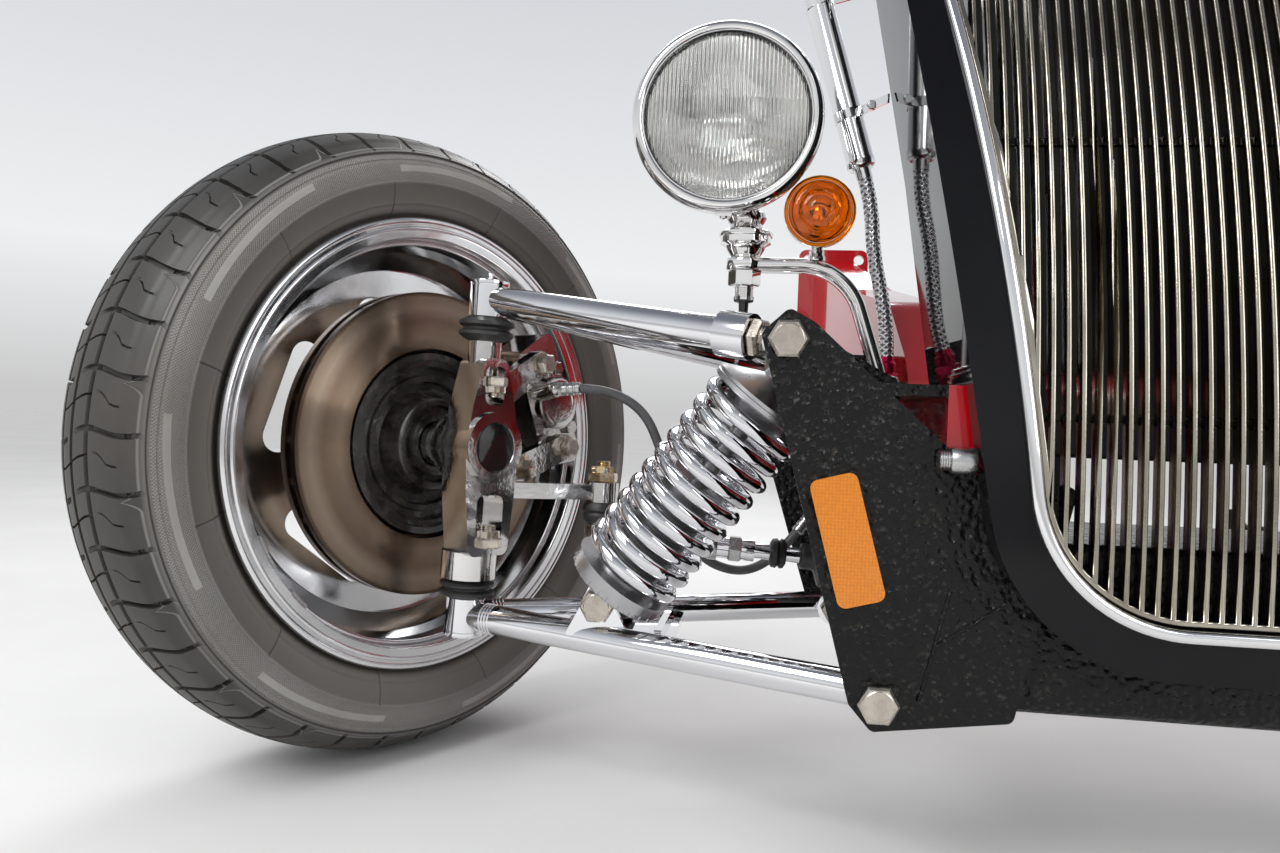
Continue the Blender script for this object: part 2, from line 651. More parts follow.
def tyre_piece(side):
    """Tyre with tread blocks, sipes, shoulder lugs and raised rings on its sides."""
    pitch = math.tau / LUGS
    shoulder, wall = side_rows()
    outer = [(x, r, normal, "shoulder") for x, r, normal in shoulder] + [(*wall[0], "side")]
    rows = [(-x, r, (-normal[0], normal[1]), zone) for x, r, normal, zone in outer[::-1]]
    rows += [(x, r, (0, 1), zone) for x, r, zone in tread_rows()] + outer
    inner = [(50.5, 203), (50.5, 190.8), (35, 190.8), (41, 211), (64, 244), (44, 262), (0, 272)]
    around = [(x, r) for x, r, _ in wall] + inner + [(-x, r) for x, r in inner[-2::-1]]
    around += [(-x, r) for x, r, _ in wall[::-1]]
    bm = bmesh.new()
    revolve(bm, around, (0, 0, 0), LEFT, len(TREAD_SHARES) * LUGS // 3)
    rings = []
    for x, r, (across, out), zone in rows:
        slant = 0.0 if zone == "side" else (4.5 * math.sin(x / TREAD_HALF * 4.2) + 0.10 * x) / TYRE_RADIUS
        bend = max(-1.0, min(1.0, (abs(x) - SIPE[1]) / 3.5)) * SIPE_LEAN if zone == "shoulder" else 0.0
        ring = []
        for number in range(LUGS):
            for share in TREAD_SHARES:
                depth = tread_cut(zone, x, r, share)
                lean = bend * max(0.0, 1 - abs(share - 0.5) / 0.28)
                turn = (number + share + lean) * pitch + slant
                ring.append(bm.verts.new(about_axle(x - depth * across, r - depth * out, turn)))
        rings.append(ring)
    stitch(bm, rings)
    bmesh.ops.translate(bm, vec=LEFT * WHEEL_PLANE, verts=bm.verts)
    mat = tyre_rubber(f"tyre_rubber_{side_name(side)}_mat", side)
    corner_piece("tyre_dressed", side, bm, mat, "wheel", 40, (f"tyre_{side_name(side)}",))


# Knuckle, brake and steering details, drawn about the left kingpin with the wheels straight
KNUCKLE_FACE = -24.0
STUD_X = KNUCKLE_FACE + 5.0
CAP_RADIUS = 22.4
ARM_EYE = Vector((-56.0, 106.0, -38.0))
EYE_HALF = 9.0
CALIPER_LUGS = [(75.0, 80.0), (112.0, 2.0)]
CALIPER_SEAT = -0.3
CALIPER_TURN = Matrix.Rotation(math.radians(22), 3, "X")
PISTON_RADIUS, BRIDGE_RADIUS = 120.0, 138.0
BRIDGE_BOLTS = [math.radians(-13), math.radians(13)]


def kingpin_point(height):
    """Point on the kingpin at a height over the wheel's centre."""
    return Vector((-height * math.tan(KINGPIN_LEAN), 0, height))


def corner_piece(name, side, bm, mat, body, angle=35.0, replaces=()):
    """Piece drawn about the left kingpin, set into either corner."""
    body = f"{body}_{side_name(side)}"
    make_piece(f"{name}_{side_name(side)}", bm, corner_matrix(side), mat, body, angle, replaces)


def knuckle_cap(side):
    """Blank black disc with a thin bright ring, in the spindle boss."""
    bm = bmesh.new()
    seat = LEFT * (KNUCKLE_FACE + 3.2)
    rim = CAP_RADIUS
    revolve(bm, [(0, 0), (0, rim), (2.4, rim), (2.9, rim - 0.8), (2.4, rim - 2.6), (2.0, 0)], seat, -LEFT, 64)
    corner_piece("knuckle_cap", side, bm, CAP_BLACK, "knuckle")
    bm = bmesh.new()
    ring = [(2.2, rim - 0.9), (3.1, rim - 0.4), (3.1, rim + 1.4), (2.2, rim + 1.9)]
    revolve(bm, ring, seat, -LEFT, 64, loop=True)
    corner_piece("knuckle_cap_ring", side, bm, FORGING, "knuckle")


def stud_nuts(side):
    """Castle nuts of both ball studs, in the knuckle's pockets."""
    bm = bmesh.new()
    for seat, along, across, height, reach, radius in ((62, -UP, 20, 14, 6, 6), (-88, UP, 22, 15, 8, 7)):
        start = Vector((STUD_X, 0, seat))
        castle_nut(bm, start, along, across, height)
        thread(bm, start + along * 12, start + along * (12 + reach), radius)
    corner_piece("stud_nuts", side, bm, NICKEL, "knuckle")


def steering_nut(side):
    """Castle nut of the tie rod's stud, with its cotter pin."""
    bm = bmesh.new()
    top = ARM_EYE + UP * EYE_HALF
    pin = top + UP * 12
    castle_nut(bm, top, UP, 25, 15)
    thread(bm, pin, top + UP * 21, 6.5)
    sweep(bm, [pin - BACK * 16, pin + BACK * 16], 1.4, 8)
    corner_piece("steering_nut", side, bm, BRASSY, "knuckle")


def steering_boot(side):
    """Rubber boot between the steering arm's eye and the tie rod end."""
    bm = bmesh.new()
    low = ARM_EYE - UP * (EYE_HALF + 0.3)
    boot = [(0, 13.2), (0, 15), (3, 17.4), (7, 18), (9.5, 16), (12, 17.2), (16, 16.4), (19, 14.5), (19, 13.2)]
    revolve(bm, boot, low, -UP, 40, loop=True)
    corner_piece("steering_boot", side, bm, RUBBER, "knuckle")


def caliper_bolts(side):
    """Bolts and washers that hold the caliper to the knuckle's lugs."""
    bm = bmesh.new()
    for y, z in CALIPER_LUGS:
        seat = Vector((CALIPER_SEAT, y, z))
        revolve(bm, [(0, 0), (0, 11), (1.8, 11), (1.8, 0)], seat, -LEFT, 32)
        hex_nut(bm, seat - LEFT * 1.8, -LEFT, 17, 8.5)
    corner_piece("caliper_bolts", side, bm, NICKEL, "knuckle")


def caliper_details(side):
    """Bridge bolts, piston cover and bleed screw on the caliper's inner side."""
    bm = bmesh.new()
    for turn in BRIDGE_BOLTS:
        seat = CALIPER_TURN @ about_axle(22.0, BRIDGE_RADIUS, turn)
        hex_nut(bm, seat + LEFT * 0.5, -LEFT, 13, 7)
    piston = CALIPER_TURN @ Vector((12.2, PISTON_RADIUS, 0))
    revolve(bm, [(0, 0), (0, 24), (1.4, 24), (2, 22.5), (2, 19), (1, 18), (1, 0)], piston, -LEFT, 48)
    bleed = CALIPER_TURN @ Vector((16.0, PISTON_RADIUS, 27))
    screw = [(0, 0), (0, 4.2), (8, 4.2), (8, 2.6), (14, 2.6), (15, 3.6), (18, 2.4), (18, 0)]
    revolve(bm, screw, bleed, CALIPER_TURN @ UP, 20)
    corner_piece("caliper_details", side, bm, CALIPER, "knuckle")


# Wheel details, drawn about the left kingpin
RIM_EDGE = 62.8
# Rings on the rim's edges as (radius, inset, thickness)
RIM_RINGS = [(203.4, 3.0, 3.9), (196.6, 1.0, 2.2), (190.0, 2.6, 2.4), (184.6, 14.0, 2.2)]
HUB_FACE = 66.0
DISC_FACE = -3.0
DISC_THICK = 16.0
DISC_DISH = 12.0
DISC_PAD = 8.0
LUG_CIRCLE = 57.15


def rim_rings(side):
    """Rounded lip and polished steps on both edges of the rim."""
    bm = bmesh.new()
    for edge in (-1, 1):
        for radius, inset, size in RIM_RINGS:
            x = WHEEL_PLANE + edge * (RIM_EDGE - inset)
            revolve(bm, [(dx, radius + dr) for dx, dr in circle(size, 12)], LEFT * x, LEFT, 144, loop=True)
    corner_piece("rim_rings", side, bm, ALLOY, "wheel", 50)


def valve(side):
    """Rubber valve in the rim."""
    bm = bmesh.new()
    out = about_axle(0, 1, math.radians(150))
    base = LEFT * (WHEEL_PLANE + 34) + out * 176
    profile = [(0, 0), (0, 8), (3, 7), (6, 4.2), (24, 3.6), (24, 4.4), (33, 4.4), (34, 3), (34, 0)]
    revolve(bm, profile, base, LEFT * 0.5 - out, 20)
    corner_piece("valve", side, bm, RUBBER, "wheel")


def balance_weights(side):
    """Clip-on weights on the rim's inner edge."""
    bm = bmesh.new()
    section = [(-61.3, 187.5), (-59.3, 184.2), (-51, 183.6), (-49.5, 186.4)]
    for start, span in ((205, 9), (222, 6)):
        rings = []
        for turn in map(math.radians, range(start, start + span + 1)):
            rings.append([bm.verts.new(about_axle(WHEEL_PLANE + x, radius, turn)) for x, radius in section])
        stitch(bm, rings)
        cap_ends(bm, rings)
    corner_piece("balance_weights", side, bm, STEEL, "wheel")


def lug_nuts(side):
    """Five closed lug nuts in the disc, and their studs behind it."""
    bm = bmesh.new()
    face = WHEEL_PLANE + DISC_FACE + DISC_THICK + DISC_PAD - 0.5
    inner = WHEEL_PLANE + DISC_FACE - DISC_DISH - 6.5
    for number in range(5):
        place = about_axle(0, LUG_CIRCLE, math.radians(126 + number * 72))
        seat = place + LEFT * (face + 3)
        revolve(bm, [(0, 0), (0, 12), (2, 12.5), (3, 11), (3, 0)], place + LEFT * face, LEFT, 32)
        hex_nut(bm, seat, LEFT, 19, 14)
        revolve(bm, [(14, 8), (19, 6), (21.5, 0)], seat, LEFT, 24)
        revolve(bm, [(0, 0), (0, 6.8), (40, 6.8), (40, 0)], place + LEFT * inner, LEFT, 20)
    corner_piece("lug_nuts", side, bm, CHROME, "wheel")


def hub_details(side):
    """Concentric machined rings and the dust seal on the inboard side of the hub."""
    bm = bmesh.new()
    profile = [(0, 84), (0, 78), (3, 76.5), (3, 72), (9, 70), (9, 64), (6, 62.5), (6, 58), (12, 56), (12, 49),
               (7, 47), (3, 45.5), (-4, 43.5), (-8, 42), (-9, 39.5), (-9, 36), (-5, 34), (-5, 31), (-11, 29),
               (-12, 25), (-10, 21.2), (14, 21.2), (20, 84)]
    revolve(bm, profile, LEFT * HUB_FACE, LEFT, 120, loop=True)
    mat = hub_black(f"hub_black_{side_name(side)}_mat", side)
    corner_piece("hub_rings", side, bm, mat, "wheel", 30)


# Suspension details, drawn for the left side
FRONT_BUSH_Y = -124.2
REAR_BUSH_Y = 117.7
# Heights over the wheel's centre along the kingpin: knuckle's bosses and ball housings
UPPER_BOSS_TOP, UPPER_HOUSING_LOW, UPPER_BALL_Z, UPPER_HOUSING_HIGH = 93.0, 115.0, 130.5, 146.0
LOWER_BOSS_BOTTOM, LOWER_HOUSING_HIGH, LOWER_BALL_Z, LOWER_HOUSING_LOW = -116.0, -134.0, -150.0, -167.0
UPPER_FRONT = Vector((325.0, FRONT_BUSH_Y, 378.0))
UPPER_REAR = Vector((325.0, REAR_BUSH_Y, 368.0))
LOWER_FRONT = Vector((255.0, FRONT_BUSH_Y, 130.0))
LOWER_REAR = Vector((268.0, REAR_BUSH_Y, 146.0))
DAMPER_LOW = Vector((470.0, -30.0, 164.0))
DAMPER_TOP = Vector((316.0, -62.0, 369.0))
PLATE_FRONT = -154.5


def left_kingpin(height):
    return Vector((KINGPIN_X, 0, WHEEL_Z)) + kingpin_point(height)


def side_piece(name, side, bm, mat, angle=35.0, replaces=()):
    """Piece of the chassis drawn for the left side, set on either side."""
    make_piece(f"{name}_{side_name(side)}", bm, side_matrix(side), mat, "chassis", angle, replaces)


def upper_arm_details(side):
    """Threads and hex collars of the upper arm's adjusters."""
    bm = bmesh.new()
    ball = left_kingpin(UPPER_BALL_Z)
    for pivot in (UPPER_FRONT, UPPER_REAR):
        out = (ball - pivot).normalized()
        thread(bm, pivot + out * 16, pivot + out * 29.5, 10.4, 2.2, 0.9, 28)
        hex_nut(bm, pivot + out * 20, out, 27, 8)
    side_piece("upper_arm_threads", side, bm, NICKEL)


def ball_joint_caps(side):
    """Pressed caps over both ball housings, the upper one with a grease nipple."""
    bm = bmesh.new()
    top, low = left_kingpin(UPPER_HOUSING_HIGH), left_kingpin(LOWER_HOUSING_LOW)
    cap = [(-4, 17.2), (-1.6, 17.7), (0.6, 17.2), (0.8, 15.4), (-0.6, 14.2), (-0.6, 6.5), (0.6, 6), (0.6, 0)]
    nipple = [(0.4, 0), (0.4, 3.6), (3, 3.6), (3.4, 2.4), (7, 2.4), (8.2, 1.6), (8.4, 0)]
    revolve(bm, cap, top, top - low, 56)
    revolve(bm, nipple, top, top - low, 20)
    revolve(bm, cap, low, low - top, 56)
    side_piece("ball_joint_caps", side, bm, CHROME)


def boot_rings(side):
    """Double rubber rings around both ball boots."""
    bm = bmesh.new()
    folds = [(0.12, 20), (0.26, 24.2), (0.38, 24), (0.47, 20.5), (0.55, 20.5), (0.66, 24.6), (0.8, 24.4),
             (0.92, 19)]
    for start, end in ((UPPER_BOSS_TOP, UPPER_HOUSING_LOW), (LOWER_BOSS_BOTTOM, LOWER_HOUSING_HIGH)):
        low, high = left_kingpin(start), left_kingpin(end)
        length = (high - low).length
        profile = [(0.4, 15.4)] + [(length * share, radius) for share, radius in folds]
        profile += [(length - 0.4, 17), (length - 0.4, 12), (0.4, 12)]
        revolve(bm, profile, low, high - low, 56, loop=True)
    side_piece("boot_rings", side, bm, RUBBER, 50)


def coilover_details(side):
    """Thread of the coil-over's body, its notched lower perch and its upper ring."""
    along = (DAMPER_TOP - DAMPER_LOW).normalized()
    bm = bmesh.new()
    start = DAMPER_LOW + along * 33
    thread(bm, start, start + along * 82, 25.9, 2.6, 1.1, 56)
    perch = DAMPER_LOW + along * 17.2
    ring = [(0, 20), (0, 41.6), (1.2, 42.8), (5.4, 42.8), (6.2, 41.6), (6.2, 20)]
    revolve(bm, ring, perch, along, 72, loop=True)
    tooth = [(41.8, -2.1), (43.6, -1.5), (43.6, 1.5), (41.8, 2.1)]
    for number in range(24):
        turn = Matrix.Rotation(math.tau * number / 24, 4, "Z")
        prism(bm, tooth, line_frame(perch, along) @ turn, 1.2, 5.2)
    top = DAMPER_LOW + along * 212.6
    ring = [(0, 30), (0, 44.6), (1, 45.8), (4.4, 45.8), (5.4, 44.4), (5.4, 30)]
    revolve(bm, ring, top, along, 72, loop=True)
    side_piece("coilover_details", side, bm, DAMPER)


def arm_welds(side):
    """Weld beads where the lower arm's tubes meet its ball housing."""
    bm = bmesh.new()
    ball = left_kingpin(LOWER_BALL_Z)
    for pivot in (LOWER_FRONT, LOWER_REAR):
        out = (pivot - ball).normalized()
        for bead in range(4):
            revolve(bm, [(-1.4, 12.5), (0, 13.6), (1.4, 12.5)], ball + out * (24 + 3 * bead), out, 32)
    side_piece("arm_welds", side, bm, CHROME)


BOLT_ACROSS = 25.0
BOLT_HEAD = 8.0
# Pivot bolts as (middle of the bush, then from there the front of the head, the far end and the nut's face)
BOLTS = [(UPPER_FRONT, -38.3, 36.0, 28.3), (LOWER_FRONT, -38.3, 36.0, 28.3), (UPPER_REAR, -30.0, 44.3, 30.3),
         (LOWER_REAR, -30.0, 44.3, 30.3), (DAMPER_LOW, -30.3, 30.3, 22.3), (DAMPER_TOP, -30.3, 30.3, 22.3)]


def pivot_bolts(side):
    """Bolts with hexagon heads and nuts."""
    bm = bmesh.new()
    for middle, head, end, nut in BOLTS:
        seat, back = middle + BACK * (head + BOLT_HEAD), middle + BACK * nut
        length = end - head - BOLT_HEAD
        hex_nut(bm, seat, -BACK, BOLT_ACROSS, BOLT_HEAD)
        revolve(bm, [(0, 0), (0, 7.3), (length, 7.3), (length, 0)], seat, BACK, 24)
        hex_nut(bm, back, BACK, 20, 7.4)
        thread(bm, back + BACK * 7, middle + BACK * end, 7.4)
    side_piece("pivot_bolts_dressed", side, bm, NICKEL, 30, replaces=("pivot_bolts",))


# Steering rack, bellows and tie rods
RACK_Y, RACK_Z = 80.0, 192.0
INNER_BALL_X = 300.0
TIE_END_DROP = {-1: 38.6, 1: 43.6}
BELLOWS_RADIUS = 31.5
BELLOWS_START = 221.0
BELLOWS_REACH = 61.0
BELLOWS_FOLDS = 7
# One fold as (share of its length, share of its height)
BELLOWS_FOLD = [(0.12, 0.25), (0.3, 0.86), (0.42, 0.98), (0.5, 1), (0.58, 0.98), (0.7, 0.86), (0.88, 0.25)]


def laid_out(point):
    """Point of the row frame, in millimetres from the front axle line on the ground."""
    return (point + ORIGIN) / MM


def rod_end(side):
    """Centre of a tie rod's outer end."""
    return laid_out(corner_matrix(side) @ ARM_EYE) - UP * TIE_END_DROP[side]


def inner_ball(side):
    """Tie rod's inner ball, with the rack shifted so that both rods have one length."""
    right, left = rod_end(-1), rod_end(1)
    near, far = -right.x - INNER_BALL_X, left.x - INNER_BALL_X
    offsets = (left.y - RACK_Y) ** 2 - (right.y - RACK_Y) ** 2
    shift = (far ** 2 - near ** 2 + offsets) / (2 * (near + far))
    return Vector((side * INNER_BALL_X + shift, RACK_Y, RACK_Z))


def row_piece(name, bm, mat, body, angle=35.0, replaces=()):
    """Piece drawn in millimetres where it stands, on either side."""
    make_piece(name, bm, side_matrix(), mat, body, angle, replaces)


def soft_piece(name, profile, start, end):
    """Part of the bellows, as a skin with an inner face, that bends between two bodies."""
    bm = bmesh.new()
    inside = [(along, radius - 1.6) for along, radius in profile[::-1]]
    revolve(bm, profile + inside, start, end - start, 64, loop=True)
    piece = mesh_object(name, bm, RUBBER, side_matrix())
    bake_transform(piece)
    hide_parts("rack_bellows")


def bellows(side):
    """Rubber bellows with round folds, in two parts that meet before the last two folds."""
    name = side_name(side)
    start = Vector((side * BELLOWS_START, RACK_Y, RACK_Z))
    ball, eye = inner_ball(side), rod_end(side)
    end = ball + (eye - ball).normalized() * BELLOWS_REACH
    length = (end - start).length
    step = (length - 18) / BELLOWS_FOLDS
    profile = [(-5, 25.5), (0, 26.2), (3, 26)]
    for number in range(BELLOWS_FOLDS):
        taper = 1 - 0.16 * number / BELLOWS_FOLDS
        for share, swell in BELLOWS_FOLD:
            profile.append((4 + (number + share) * step, (BELLOWS_RADIUS - 8 + 8 * swell) * taper))
    cut = len(profile) - 2 * len(BELLOWS_FOLD)
    profile += [(length - 12, 13), (length - 10, 12), (length - 9, 11.8), (length - 4, 11.8), (length, 11.8)]
    profile.append((length + 1, 10.8))
    split = start + (end - start).normalized() * profile[cut][0]
    soft_piece(f"bellows_{name}", profile[:cut + 1], start, end)
    soft_piece(f"bellows_neck_{name}", profile[cut:], start, end)


def bellows_bands(side):
    """Steel bands with their screws around the bellows' mouth, and the housing's bead."""
    bm = bmesh.new()
    start, inward = Vector((side * BELLOWS_START, RACK_Y, RACK_Z)), LEFT * -side
    for along, radius, wide in ((2.0, 27.2, 8.0), (22.0, 26.6, 5.0)):
        band = start + inward * along
        section = [(0, radius), (0, radius + 1.2), (wide, radius + 1.2), (wide, radius)]
        revolve(bm, section, band, inward, 64, loop=True)
        hex_nut(bm, band + inward * (wide / 2) - BACK * (radius + 1), -BACK, 7, 5)
    revolve(bm, [(0, 24.3), (0, 28), (16, 28), (17, 27), (17, 24.3)], start, inward, 64, loop=True)
    row_piece(f"bellows_bands_{side_name(side)}", bm, STEEL, "chassis")


def tie_rod(side):
    """Jam nuts, clamp rings and a rubber collar along the tie rod, and the caps of its outer end."""
    name = side_name(side)
    ball, eye = inner_ball(side), rod_end(side)
    along = (eye - ball).normalized()
    length = (eye - ball).length
    bm = bmesh.new()
    for reach, across, tall in ((length * 0.42, 19, 9), (length * 0.47, 22, 12), (length - 34, 22, 12)):
        hex_nut(bm, ball + along * reach, along, across, tall)
    clamp = [(0, 9.8), (0, 12), (1, 12.6), (8, 12.6), (9, 12), (9, 9.8)]
    for share in (0.56, 0.8):
        revolve(bm, clamp, ball + along * length * share, along, 40, loop=True)
    thread(bm, ball + along * (length - 24), ball + along * (length - 12), 8.4)
    row_piece(f"tie_rod_nuts_{name}", bm, STEEL, f"tie_rod_{name}")
    bm = bmesh.new()
    bottom = [(0, 0), (0, 14.2), (1.2, 13.4), (1.8, 11), (2.6, 10.4), (3, 4), (4.6, 3.2), (5, 0)]
    revolve(bm, bottom, eye - UP * 8.6, -UP, 40)
    cap = [(-7.6, 15.1), (-6, 15.5), (5, 15.5), (7.4, 15), (8.4, 13.4), (8.4, 0), (-7.6, 0)]
    revolve(bm, cap, eye, UP, 48)
    row_piece(f"tie_rod_end_{name}", bm, FORGING, f"tie_rod_{name}")
    bm = bmesh.new()
    collar = [(0, 7), (0, 10), (2, 13.2), (5, 13.8), (7, 11.6), (9, 13.8), (13, 13), (15, 9.5), (15, 7)]
    revolve(bm, collar, ball + along * (BELLOWS_REACH + 14), along, 40, loop=True)
    row_piece(f"tie_rod_collar_{name}", bm, RUBBER, f"tie_rod_{name}")


# Brake hoses, with the route's points in metres
HOSE_RADIUS = 0.0044
HOSE_END = 0.008
HOSE_FITTING = (-14.0, 80.0, 56.0)
HOSE_FRAME = (0.292, 0.128, 0.232)
HOSE_ROUTES = {
    -1: [(-0.462, 0.057, 0.350), (-0.425, 0.072, 0.262), (-0.412, 0.090, 0.210), (-0.392, 0.103, 0.180),
         (-0.352, 0.111, 0.171), (-0.318, 0.118, 0.196)],
    1: [(0.565, 0.080, 0.356), (0.480, 0.100, 0.312), (0.405, 0.116, 0.244), (0.345, 0.121, 0.226)],
}


def spline_curve(name, points):
    """Smooth line guided by the points of a route."""
    data = bpy.data.curves.new(name, "CURVE")
    data.dimensions = "3D"
    data.resolution_u = 24
    spline = data.splines.new("NURBS")
    spline.points.add(len(points) - 1)
    for place, point in zip(spline.points, points):
        place.co = (*point, 1)
    spline.order_u = 3
    spline.use_endpoint_u = True
    return data


def spline_points(name, points):
    """Points along the smooth line, as Blender draws it."""
    guide = bpy.data.objects.new(name, spline_curve(name, points))
    bpy.context.collection.objects.link(guide)
    bpy.context.view_layer.update()
    mesh = bpy.data.meshes.new_from_object(guide)
    places = [vertex.co.copy() for vertex in mesh.vertices]
    bpy.data.objects.remove(guide)
    bpy.data.meshes.remove(mesh)
    return places


def line_length(points):
    return sum((after - before).length for before, after in zip(points, points[1:]))


def hose_route(side):
    """Points of a brake hose's line, from the knuckle's fitting to the frame's."""
    middle = [Vector(point) - ORIGIN for point in HOSE_ROUTES[side]]
    start = corner_matrix(side) @ Vector(HOSE_FITTING)
    end = Vector((side * HOSE_FRAME[0], *HOSE_FRAME[1:])) - ORIGIN
    start += (middle[0] - start).normalized() * HOSE_END
    end += (middle[-1] - end).normalized() * HOSE_END
    return [start, *middle, end]


def brake_hose(side):
    """Rubber brake hose, with a crimped ferrule at each end."""
    name = side_name(side)
    places = spline_points(f"hose_line_{name}", hose_route(side))
    bm = bmesh.new()
    sweep(bm, places, HOSE_RADIUS, 16)
    piece = mesh_object(f"hose_{name}", bm, HOSE)
    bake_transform(piece)
    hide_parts(f"brake_hose_{name}")
    ferrule = [(-5, 0), (-5, 5.2), (0, 5.2), (0.6, 6.4), (7, 6.4), (7.6, 5.6), (9, 5.6), (9.6, 6.4),
               (13, 6.4), (13.6, 5.6), (15, 5.6), (15.6, 6.2), (19, 6), (20, 4.9), (20, 0)]
    for end, after, body in ((places[0], places[3], f"knuckle_{name}"), (places[-1], places[-4], "chassis")):
        bm = bmesh.new()
        ahead = (after - end).normalized()
        base = laid_out(end) - ahead * 3
        revolve(bm, ferrule, base, ahead, 32)
        hex_nut(bm, base - ahead * 4, ahead, 13, 7)
        row_piece(f"hose_ferrule_{body}_{name}", bm, STEEL, body)


# Braided hose of the overflow tank, with the route's points in metres
DRAIN_RADIUS = 0.0065
OVERFLOW_LOW, OVERFLOW_HIGH = Vector((-0.263, 0.060, 0.551)), Vector((-0.318, 0.060, 0.735))
SPIGOT = 0.010
DRAIN_ROUTE = [(-0.250, 0.061, 0.474), (-0.240, 0.058, 0.430), (-0.235, 0.060, 0.400), (-0.235, 0.060, 0.378)]
FITTING_SEAT = 350.4


def drain_hose():
    """Braided hose from the overflow tube's spigot to the fitting on the frame rail."""
    down = (OVERFLOW_LOW - OVERFLOW_HIGH).normalized()
    start, straight = OVERFLOW_LOW + down * (SPIGOT + 0.0003), OVERFLOW_LOW + down * (SPIGOT + 0.024)
    points = [point - ORIGIN for point in (start, straight, *map(Vector, DRAIN_ROUTE))]
    data = spline_curve("drain_hose_braided", points)
    data.bevel_depth = DRAIN_RADIUS
    data.bevel_resolution = 6
    data.use_fill_caps = True
    data.materials.append(BRAIDED)
    piece = bpy.data.objects.new("drain_hose_braided", data)
    bpy.context.collection.objects.link(piece)
    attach(piece, "chassis")
    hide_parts("drain_hose")
    length = line_length(spline_points("drain_line", points))


# Side and rear edges of the grille shell
SHELL_LOW_HALF, SHELL_BOTTOM, SHELL_SLANT = 176.0, 164.0, 9.3
SHELL_REAR, REAR_BEND_Z, REAR_SLANT = 0.0, 520.0, 12.0


def shell_edge(height):
    """Point on the right rear edge of the grille shell at a height."""
    x = -(SHELL_LOW_HALF + (height - SHELL_BOTTOM) * math.tan(math.radians(SHELL_SLANT)))
    y = SHELL_REAR + (height - REAR_BEND_Z) * math.tan(math.radians(REAR_SLANT))
    return Vector((x, y - 6, height))


def drain_fitting():
    """Crimson hexagon fitting at the hose's lower end."""
    bm = bmesh.new()
    base = Vector((DRAIN_ROUTE[-1][0] / MM, DRAIN_ROUTE[-1][1] / MM, FITTING_SEAT))
    revolve(bm, [(0, 0), (0, 10.8), (7, 10.8), (8, 9.4), (8, 0)], base, UP, 40)
    hex_nut(bm, base + UP * 7, UP, 19, 10)
    revolve(bm, [(17, 0), (17, 8.6), (19, 9), (25, 9), (27, 7.4), (31, 7.2), (31, 0)], base, UP, 40)
    row_piece("drain_fitting_hex", bm, ANODISED, "chassis", replaces=("drain_fitting",))


def overflow_tube():
    """Polished tube with its cap, spigot nut and bands, held by two straps to the shell's edge."""
    bm = bmesh.new()
    low, high = OVERFLOW_LOW / MM, OVERFLOW_HIGH / MM
    along = (high - low).normalized()
    length = (high - low).length
    tube = [(-11, 0), (-11, 7.2), (-2, 7.4), (-2, 10), (0, 12.2), (1, 12.9), (7, 12.9), (8, 12.4)]
    cap = [(-9, 12.4), (-9, 13), (-2, 13), (0, 12), (1, 9.6), (6, 9.4), (7, 8), (7, 0)]
    revolve(bm, tube + [(length + rise, radius) for rise, radius in cap], low, along, 48)
    for share in (0.25, 0.8):
        middle = low.lerp(high, share)
        revolve(bm, [(-4, 12), (-4, 13.4), (4, 13.4), (4, 12)], middle, along, 48, loop=True)
        across = shell_edge(middle.z) - middle
        strap = [(-0.9, -4), (0.9, -4), (0.9, 4), (-0.9, 4)]
        prism(bm, strap, line_frame(middle + across.normalized() * 12, across), 0, across.length - 12, 0.3)
        hex_nut(bm, middle + across * 0.6, -BACK, 8, 4)
    row_piece("overflow_tube", bm, TRIM_CHROME, "chassis", replaces=("overflow_tank",))


# Headlamps, their stays and the turn signals
LAMP = Vector((381.0, -25.0, 573.0))
LAMP_REACH, LAMP_GIRTH = 86.4, 75.8
# Lamp stem's axis, and the heights of its top and of the stay round it
STEM_X, STEM_Y, STEM_TOP, STAY_Z = 363.0, 20.0, 506.0, 456.0
# The stay's straight run, its bend's radius and angle, and how low the arm and its foot reach
STAY_STRAIGHT, STAY_BEND, STAY_TURN, STAY_LOW, STAY_FOOT = 48.0, 54.0, math.radians(72.0), 356.0, 350.3
SIGNAL = Vector((301.5, -12.0, 496.5))


def lamp_rim(side):
    """Rolled rim of the lens, the band behind it and the adjusting screw under it."""
    bm = bmesh.new()
    section = [(2.6, 70.4), (-0.6, 71), (-2, 73), (-1.6, 75.6), (0.4, 77.6), (3, 79.2), (6, 80.3), (11, 80.5),
               (14, 79.6), (16, 77.4), (18.6, 76.4), (19.4, 75), (18, 73.5), (8, 74)]
    revolve(bm, section, LAMP, BACK, 128, loop=True)
    revolve(bm, [(41, 71.4), (42, 72.6), (44, 72.4), (45, 70.6)], LAMP, BACK, 96, loop=True)
    foot = LAMP + Vector((0, 8, -80.2))
    prism(bm, [(-7, -6), (7, -6), (5.4, 6), (-5.4, 6)], line_frame(foot, -UP), -1, 3, 0.8)
    revolve(bm, [(2, 0), (2, 3.6), (4.4, 3.2), (4.8, 0)], foot, -UP, 20)
    side_piece("lamp_rim", side, bm, LAMP_CHROME, 50)


